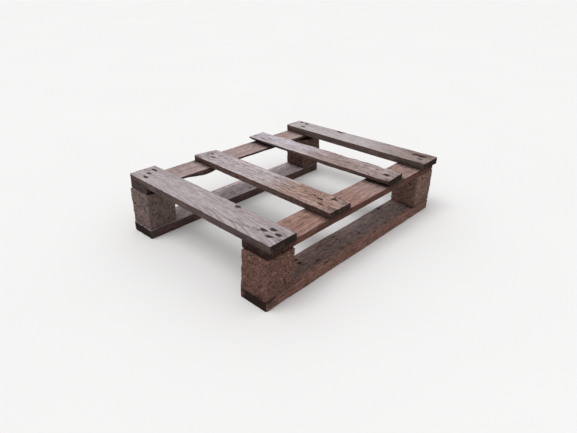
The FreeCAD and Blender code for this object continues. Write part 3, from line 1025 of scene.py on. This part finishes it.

# %% [markdown]
# ## Stringers and bottom boards
#
# The long boards follow the same rule, turned a quarter: their left end is at the front of the pallet and
# their near side is on +X. The left stringer was sawn from the outside of the log, so its inner lower edge
# is round, apart from one stretch. The bottom boards are thicker, darker and bruised at their ends.

# %% Long boards
# The side and end colours set here are partly painted shade.
LONG_BOARDS = {
    "stringer_left": {
        "seed": 15.2,
        "rings": {"Pith Across": 0.07, "Pith Depth": 0.06, "Pith Lean": 0.02, "Ring Gap": 0.003},
        "weather": {"Film Left": 0.75, "Film Right": 0.6, "Film Colour": colour(0.43, 0.365, 0.365),
                    "Side Colour And Shade": colour(0.05, 0.032, 0.027), "End Colour And Shade": colour(0.066, 0.052, 0.051)},
        "shape": {"Wane Height": 0.0155, "Wane Fall": -0.012, "Wane Dip": 0.0155, "Wane Dip Place": -0.17,
                  "Wane Dip Reach": 0.06, "Wane At End": 0.35},
    },
    "stringer_right": {
        "seed": 19.6,
        "rings": {"Pith Across": -0.055, "Pith Depth": 0.055, "Pith Lean": -0.03, "Ring Gap": 0.0044},
        "weather": {},
        "shape": {"Near Wander": 0.001, "Split To": -0.3},
    },
    "runner_left": {
        "seed": 23.4,
        "rings": {"Pith Across": 0.06, "Pith Depth": 0.05, "Pith Lean": 0.02, "Ring Gap": 0.003},
        "weather": {"Film Colour": colour(0.62, 0.54, 0.56), "Early Colour": colour(0.39, 0.29, 0.26),
                    "Side Colour And Shade": colour(0.10, 0.062, 0.055), "Grime": 0.4, "Film Left": 0.8, "Mottle": 1.0,
                    "End Colour And Shade": colour(0.018, 0.013, 0.012), "Bare Edges And Highlight": 0.0},
        "shape": {"Far Bite": (-0.27, 0.045, 0.016), "Pits": 0.5, "Round Right": 0.028},
    },
    "runner_right": {
        "seed": 27.8,
        "rings": {"Pith Across": 0.07, "Pith Depth": 0.05, "Pith Lean": -0.02, "Ring Gap": 0.003,
                  "Knot A": (-0.211, 0.028, 0.0055), "Knot B": (-0.214, 0.011, 0.0055)},
        "weather": {"Band From": -0.028, "Mottle": 1.1, "Film Colour": colour(0.27, 0.213, 0.202),
                    "Early Colour": colour(0.25, 0.135, 0.108)},
        "shape": {"Pits": 1.0},
    },
}
LONG_SHAPE = {"Nail Stretch": (1.0, 0.55, 0.0), "Left Ragged": 0.002, "Right Ragged": 0.002}
STRINGER_SHAPE = dict(LONG_SHAPE, **{"Nail Side": 0.0})
RUNNER_SHAPE = dict(LONG_SHAPE, **{
    "Nail Side": -1.0, "Arris": 0.003, "Relief": 0.0004, "Checks": 0.0014, "Near Wander": 0.0016,
    "Far Wander": 0.0012, "Right Ragged": 0.004, "Round Left": 0.007, "Round Right": 0.016,
})

deck_boards = joined_nodes("deck_boards", "deck_board")
blocks = joined_nodes("blocks", "block")
for node, plan in LONG_BOARDS.items():
    kind, side = node.split("_")
    marks = marks_of(node, lambda name: name.startswith("runner_nails") and name.endswith(side))
    if kind == "stringer":
        lay_board(node, long_corners(node), plan, STRINGER_WEATHER, "stringer_wood", marks, deck_boards,
                  STRINGER_SHAPE)
    else:
        lay_board(node, long_corners(node), plan, RUNNER_WEATHER, "runner_wood", marks, blocks, RUNNER_SHAPE)
    bpy.data.objects.remove(marks)
bpy.data.objects.remove(deck_boards)
bpy.data.objects.remove(blocks)

# %% [markdown]
# ## Chipboard blocks
#
# The blocks are pressed from coarse wood chips and glue. Up close the faces are a jumble of flakes, some
# lying proud and some torn out, and the corners crumble. The body is a fine box whose corners are worn by
# noise and whose faces are pitted chip by chip. Real flakes are then scattered over it as instances: thin
# slivers that lie nearly flat, each with its own tint.

# %% Block tree
BLOCK_INPUTS = [
    ("Foot", "Vector", None), ("Lean", "Vector", None), ("Size", "Vector", None), ("Seed", "Int", 0),
    ("Cell", "Float", 0.0016), ("Arris", "Float", 0.004), ("Crumble", "Float", 0.003),
    ("Pits", "Float", 0.0012), ("Flake Length", "Float", 0.0075),
    ("Flakes Per Square Metre", "Float", 30000.0), ("Finish", "Material", None),
]
CHIP_AXIS = (0.5, 0.6, 0.62)
CHIP_TURNS = (0.6, -0.8)    # two layers of chips lie slanted two ways
SEED_STEP = 1.37            # how far apart, in metres, two blocks' patterns are taken
FLAKE_BEND = 8.0            # how much a flake bows over its length
FLAKE_TILT = 0.16           # the most that a flake stands off the face, in radians


def crumb_noise(tree, place):
    """Where the chipboard crumbles."""
    return noise(tree, place, 26.0, 4.0, 0.65)


def chip_pattern(tree, place):
    """A shade from 0 to 1 for each pressed chip, and a mask for the holes that lost chips leave."""
    jitter = noise(tree, place, 160.0, 2.0, 0.6, "Color").vector("SUBTRACT", (0.5, 0.5, 0.5)).scaled(0.005)
    loose = place.vector("ADD", jitter)
    shades = []
    for turn in CHIP_TURNS:
        slanted = add_node(tree, "ShaderNodeVectorRotate",
                           {"Vector": loose, "Axis": CHIP_AXIS, "Angle": turn}, rotation_type="AXIS_ANGLE")
        made = add_node(tree, "ShaderNodeTexVoronoi",
                        {"Vector": stretched(out(tree, slanted), 1.0, 2.9, 2.3), "Scale": 90.0})
        shades.append(out(tree, made, "Color").xyz()[0])
    layer = noise(tree, place, 75.0, 1.0).step(0.45, 0.55)
    shade = shades[0] * (1.0 - layer) + shades[1] * layer
    return shade, shade.step(0.1, 0.04)


def pressed_block_tree():
    tree, wires, leaving = new_tree("pressed_block", "GeometryNodeTree", BLOCK_INPUTS,
                                    [("Block", "Geometry")])
    sizes = wires["Size"].xyz()
    seed = wires["Seed"] * SEED_STEP
    cells = [(size / wires["Cell"]).math("CEIL") for size in sizes]
    cube = add_node(tree, "GeometryNodeMeshCube", {"Size": wires["Size"], "Vertices X": cells[0],
                                                   "Vertices Y": cells[1], "Vertices Z": cells[2]})
    boxed = read(tree, "GeometryNodeInputPosition")
    knocks = crumb_noise(tree, moved_by(tree, boxed, seed, 0.0))
    arris = wires["Arris"] * (0.3 + knocks.step(0.35, 0.75) * 1.6)
    rounded, lean_out = rounded_box(boxed.xyz(), sizes, arris)
    noted = store(tree, out(tree, cube), "board_place", point(tree, *rounded), "FLOAT_VECTOR")
    noted = store(tree, noted, "worn", lean_out.step(1.0, 1.25))
    noted = store(tree, noted, "flake", 0.0)
    own = stored(tree, "board_place", "FLOAT_VECTOR")
    corners = stored(tree, "worn")
    shaped = placed_at(tree, noted, own)
    seeded = moved_by(tree, own, seed, 0.0)
    crumbs = crumb_noise(tree, seeded)

    chips, holes = chip_pattern(tree, seeded)
    coarse = noise(tree, seeded, 55.0, 3.0, 0.6)
    sink = (1.0 - chips) * wires["Pits"] * 0.5 + holes * wires["Pits"] * 0.7
    sink = sink + coarse.step(0.45, 0.8) * wires["Pits"] * 0.7
    sink = sink + corners * crumbs.step(0.52, 0.72) * wires["Crumble"] * 0.5
    normal = read(tree, "GeometryNodeInputNormal")
    pitted = add_node(tree, "GeometryNodeSetPosition", {"Geometry": shaped, "Offset": normal.scaled(-sink)})
    smooth = add_node(tree, "GeometryNodeSetShadeSmooth", {"Geometry": out(tree, pitted)})

    # Flakes: thin slivers scattered over the pitted faces.
    spots = add_node(tree, "GeometryNodeDistributePointsOnFaces",
                     {"Mesh": out(tree, pitted), "Density": wires["Flakes Per Square Metre"],
                      "Seed": wires["Seed"]})
    long = wires["Flake Length"]
    flake = add_node(tree, "GeometryNodeMeshCube",
                     {"Size": point(tree, long, long * 0.3, long * 0.075), "Vertices X": 3, "Vertices Y": 2,
                      "Vertices Z": 2})
    bent_along, bent_across, bent_up = read(tree, "GeometryNodeInputPosition").xyz()
    taper = 1.0 - (bent_along.size() / long) * 0.9
    bent = point(tree, bent_along, bent_across * taper, bent_up - bent_along * bent_along * FLAKE_BEND)
    sliver = placed_at(tree, out(tree, flake), bent)
    spin = add_node(tree, "FunctionNodeRandomValue",
                    {0: (-FLAKE_TILT, -FLAKE_TILT, 0.0), 1: (FLAKE_TILT, FLAKE_TILT, 2.0 * math.pi),
                     "Seed": wires["Seed"]}, data_type="FLOAT_VECTOR")
    turned = add_node(tree, "FunctionNodeRotateRotation",
                      {"Rotation": out(tree, spots, "Rotation"), "Rotate By": out(tree, spin)},
                      rotation_space="LOCAL")
    size = add_node(tree, "FunctionNodeRandomValue",
                    {2: 0.35, 3: 1.25, "Seed": wires["Seed"] + 5.0}, data_type="FLOAT")
    placed = add_node(tree, "GeometryNodeInstanceOnPoints",
                      {"Points": out(tree, spots, "Points"), "Instance": sliver,
                       "Rotation": out(tree, turned), "Scale": out(tree, size, 1)})
    tint = add_node(tree, "FunctionNodeRandomValue",
                    {2: 0.1, 3: 1.0, "Seed": wires["Seed"] + 9.0}, data_type="FLOAT")
    tinted = store(tree, out(tree, placed), "flake", out(tree, tint, 1), domain="INSTANCE")
    real = add_node(tree, "GeometryNodeRealizeInstances", {"Geometry": tinted})
    here = read(tree, "GeometryNodeInputPosition")
    flaked = store(tree, out(tree, real), "board_place", here, "FLOAT_VECTOR")
    joined = add_node(tree, "GeometryNodeJoinGeometry", {0: flaked})
    plug(tree, out(tree, smooth), joined.inputs[0])

    # Up on to its foot, pushed over, and kept within its own size.
    inside = [value.between(whole * -0.5, whole * 0.5) for value, whole in zip(here.xyz(), sizes)]
    share = inside[2] / sizes[2] + 0.5
    stood = point(tree, inside[0], inside[1], inside[2] + sizes[2] * 0.5)
    stood = stood.vector("ADD", wires["Foot"]).vector("ADD", wires["Lean"].scaled(share))
    leave_finished(tree, placed_at(tree, out(tree, joined), stood), wires["Finish"], leaving)
    return tree


PRESSED_BLOCK = pressed_block_tree()
print("block tree nodes", len(PRESSED_BLOCK.nodes))

# %% [markdown]
# ## Chipboard finish
#
# Each chip takes its own shade from a cell pattern that matches the pits, and the loose flakes carry a
# stored tint. Patches of dirt and a darkening towards the foot mark the blocks, and two of them are redder.

# %% Chipboard finish and blocks


def chipboard_finish(name, seed, pale, dark, grime):
    finish, tree, shader = new_finish(name)
    place = place_of_board(tree)
    seeded = place.vector("ADD", (seed * SEED_STEP, 0.0, 0.0))
    chips, holes = chip_pattern(tree, seeded)
    crumbs = crumb_noise(tree, seeded)
    fine = noise(tree, seeded, 700.0, 3.0, 0.75)
    flake, worn = marked(tree, "flake"), marked(tree, "worn")
    tone = (chips * 0.55 + (fine - 0.5) * 1.3 + flake * 0.45 + 0.06).between(0.0, 1.0)
    base = mixed(tree, tone, dark, pale)
    base = mixed(tree, holes * 0.55, base, SHADOW)
    base = mixed(tree, flake.step(0.93, 1.0) * 0.5, base, colour(0.45, 0.37, 0.32))
    base = mixed(tree, worn * 0.2, base, pale)
    # Each block grows darker towards its foot.
    low = place.xyz()[2].step(0.0, -0.055)
    soil_and_darkening = (crumbs.step(0.45, 0.75) * grime + low * 0.2).between(0.0, 0.9)
    base = mixed(tree, soil_and_darkening, base, SOIL_AND_SHADE)
    rough = (0.88 + (fine - 0.5) * 0.2).between(0.6, 1.0)
    give_surface(tree, shader, base, rough, chips * 0.0007 + fine * 0.0009, 0.9)
    shader.inputs["Specular IOR Level"].default_value = DULL
    return finish


# Seed, pale chips, dark chips and how much soil.
BLOCKS = {
    "front_left": (3, colour(0.30, 0.22, 0.20), colour(0.09, 0.062, 0.056), 0.25),
    "front_right": (5, colour(0.26, 0.14, 0.107), colour(0.072, 0.037, 0.03), 0.2),
    "back_left": (8, colour(0.2, 0.12, 0.10), colour(0.06, 0.034, 0.03), 0.35),
    "back_right": (12, colour(0.33, 0.21, 0.165), colour(0.10, 0.056, 0.044), 0.25),
}


def foot_and_lean(node):
    """The middle of a block's foot, how far its head is pushed over, and its size, from the frame's mesh."""
    points = [vertex.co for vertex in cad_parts[node].data.vertices]
    low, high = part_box(node)
    levels = []
    for height in (low[2], high[2]):
        ring = [p for p in points if abs(p.z - height) < 0.1 * MM]
        levels.append(Vector(((min(p.x for p in ring) + max(p.x for p in ring)) / 2.0,
                              (min(p.y for p in ring) + max(p.y for p in ring)) / 2.0, height)))
    lean = levels[1] - levels[0]
    size = Vector((high[0] - low[0] - abs(lean.x), high[1] - low[1] - abs(lean.y), high[2] - low[2]))
    return levels[0], Vector((lean.x, lean.y, 0.0)), size


for corner, (seed, pale, dark, grime) in BLOCKS.items():
    node = "block_" + corner
    foot, lean, size = foot_and_lean(node)
    finish = chipboard_finish(node + "_finish", seed, pale, dark, grime)
    values = {"Foot": foot, "Lean": lean, "Size": size, "Seed": seed, "Finish": finish}
    block = make_piece(PRESSED_BLOCK, "Block_" + corner.title(), values)
    settle(block, "block_chipboard", node)
    print(node, "faces", len(block.data.polygons), "size", [round(value, 4) for value in size])

# %% [markdown]
# ## Nails
#
# One nail is turned on a lathe: a flat head with a soft rim, a shank and a point. A geometry tree stands a
# copy at each nail's place, with a slight tilt and its own turn. The heads lie just below the wood, in the
# craters that the board tree sank for them.

# %% Nails
NAIL_RING = 14
NAIL_HEAD = 3.5 * MM
NAIL_SHANK = 1.5 * MM
NAIL_POINT = 4.5 * MM
TURNED_OVER = math.pi


def nail_mesh(length):
    """A closed nail that hangs down from the origin. The profile is (radius, height) from the head down."""
    head, shank = NAIL_HEAD, NAIL_SHANK
    profile = [(head * 0.5, -0.05 * MM), (head * 0.88, -0.15 * MM), (head, -0.5 * MM),
               (head * 0.97, -1.1 * MM), (shank * 1.15, -1.4 * MM), (shank, -2.4 * MM),
               (shank, -length + NAIL_POINT)]
    vertices = [(0.0, 0.0, 0.0)]
    for radius, height in profile:
        for i in range(NAIL_RING):
            turn = 2.0 * math.pi * i / NAIL_RING
            vertices.append((radius * math.cos(turn), radius * math.sin(turn), height))
    vertices.append((0.0, 0.0, -length))
    faces = []
    for i in range(NAIL_RING):
        j = (i + 1) % NAIL_RING
        faces.append((0, 1 + i, 1 + j))
        for ring in range(len(profile) - 1):
            upper, lower = 1 + ring * NAIL_RING, 1 + (ring + 1) * NAIL_RING
            faces.append((upper + i, lower + i, lower + j, upper + j))
        last = 1 + (len(profile) - 1) * NAIL_RING
        faces.append((last + i, len(vertices) - 1, last + j))
    mesh = bpy.data.meshes.new("nail")
    mesh.from_pydata(vertices, [], faces)
    return mesh


def nail_tree():
    tree, wires, leaving = new_tree(
        "driven_nails", "GeometryNodeTree",
        [("Places", "Object", None), ("Nail", "Object", None), ("Turned Over", "Float", 0.0),
         ("Tilt", "Float", 0.035), ("Seed", "Int", 0), ("Finish", "Material", None)],
        [("Nails", "Geometry")])
    shaky = add_node(tree, "FunctionNodeRandomValue",
                     {0: (-1.0, -1.0, -math.pi), 1: (1.0, 1.0, math.pi), "Seed": wires["Seed"]},
                     data_type="FLOAT_VECTOR")
    tilt_along, tilt_across, turn = out(tree, shaky).xyz()
    angles = point(tree, tilt_along * wires["Tilt"] + wires["Turned Over"] * TURNED_OVER,
                   tilt_across * wires["Tilt"], turn)
    placed = add_node(tree, "GeometryNodeInstanceOnPoints",
                      {"Points": object_shape(tree, wires["Places"]),
                       "Instance": object_shape(tree, wires["Nail"]), "Rotation": angles})
    leave_finished(tree, out(tree, placed), wires["Finish"], leaving)
    return tree


def rusty_nail_finish():
    finish, tree, shader = new_finish("rusty_nail")
    place = read(tree, "ShaderNodeTexCoord", "Object")
    scale = noise(tree, place, 900.0, 4.0, 0.65)
    spots = noise(tree, place, 260.0, 2.0, 0.6)
    rust = mixed(tree, scale.step(0.35, 0.7), colour(0.028, 0.017, 0.014), colour(0.10, 0.045, 0.026))
    rust = mixed(tree, spots.step(0.6, 0.75) * 0.5, rust, colour(0.13, 0.12, 0.12))
    plug(tree, spots.step(0.55, 0.75, 0.1, 0.7), shader.inputs["Metallic"])
    give_surface(tree, shader, rust, scale.step(0.2, 0.8, 0.6, 0.95), scale * 0.0004, 0.8)
    return finish


DRIVEN_NAILS = nail_tree()
RUSTY = rusty_nail_finish()
for number, (node, places) in enumerate(NAILS.items()):
    turned_over = node.startswith("runner")
    lowest, highest = places[0][2], places[0][3]
    head_height = lowest if turned_over else highest
    pattern = in_scene("nail_pattern", nail_mesh(highest - lowest))
    spots = points_object("nail_spots", [(x, y, head_height) for x, y, _, _ in places])
    values = {"Places": spots, "Nail": pattern, "Turned Over": 1.0 if turned_over else 0.0,
              "Seed": number, "Finish": RUSTY}
    group = make_piece(DRIVEN_NAILS, node.title(), values)
    settle(group, "nail_steel", node)
    bpy.data.objects.remove(pattern)
    bpy.data.objects.remove(spots)
print("nail groups", len(NAILS))

# %% [markdown]
# ## Floor and light
#
# A plain pale floor and a soft overhead dome show the wood without colouring it. The dome is brighter
# above than at the horizon, and a broad sun from above gives the soft shadow under the boards.

# %% Stage
FLOOR_REACH = 30.0
BACKDROP = 0.86         # how bright the dome looks behind the floor


def lay_floor():
    finish, tree, shader = new_finish("floor")
    place = read(tree, "ShaderNodeTexCoord", "Object")
    cloud = noise(tree, place, 1.5, 2.0)
    tone = mixed(tree, cloud, colour(0.80, 0.80, 0.80), colour(0.83, 0.83, 0.83))
    plug(tree, tone, shader.inputs["Base Color"])
    shader.inputs["Roughness"].default_value = 0.9
    shader.inputs["Specular IOR Level"].default_value = 0.1
    mesh = bpy.data.meshes.new("floor")
    corners = [(side * FLOOR_REACH, depth * FLOOR_REACH, 0.0)
               for side, depth in ((-1, -1), (1, -1), (1, 1), (-1, 1))]
    mesh.from_pydata(corners, [], [(0, 1, 2, 3)])
    mesh.materials.append(finish)
    floor = in_scene("floor", mesh)


def light_the_dome(horizon, overhead):
    world = bpy.data.worlds.new("studio")
    world.use_nodes = True
    tree = world.node_tree
    tree.nodes.clear()
    height = read(tree, "ShaderNodeTexCoord", "Generated").xyz()[2].between(0.0, 1.0)
    seen = read(tree, "ShaderNodeLightPath", "Is Camera Ray")
    glow = horizon + height * (overhead - horizon)
    sky = add_node(tree, "ShaderNodeBackground", {"Color": colour(1.0, 0.99, 0.985),
                                                  "Strength": glow * (1.0 - seen) + seen * BACKDROP})
    leaving = tree.nodes.new("ShaderNodeOutputWorld")
    tree.links.new(sky.outputs[0], leaving.inputs[0])
    bpy.context.scene.world = world


def hang_sun(strength, elevation, azimuth, spread):
    light = bpy.data.lights.new("soft_sun", "SUN")
    light.energy = strength
    light.angle = math.radians(spread)
    sun = in_scene("soft_sun", light)
    sun.rotation_euler = (math.radians(90.0 - elevation), 0.0, math.radians(azimuth))


lay_floor()
light_the_dome(horizon=0.45, overhead=1.0)
hang_sun(strength=1.1, elevation=68.0, azimuth=-25.0, spread=30.0)
bpy.context.scene.view_settings.view_transform = "Standard"
print("stage set")
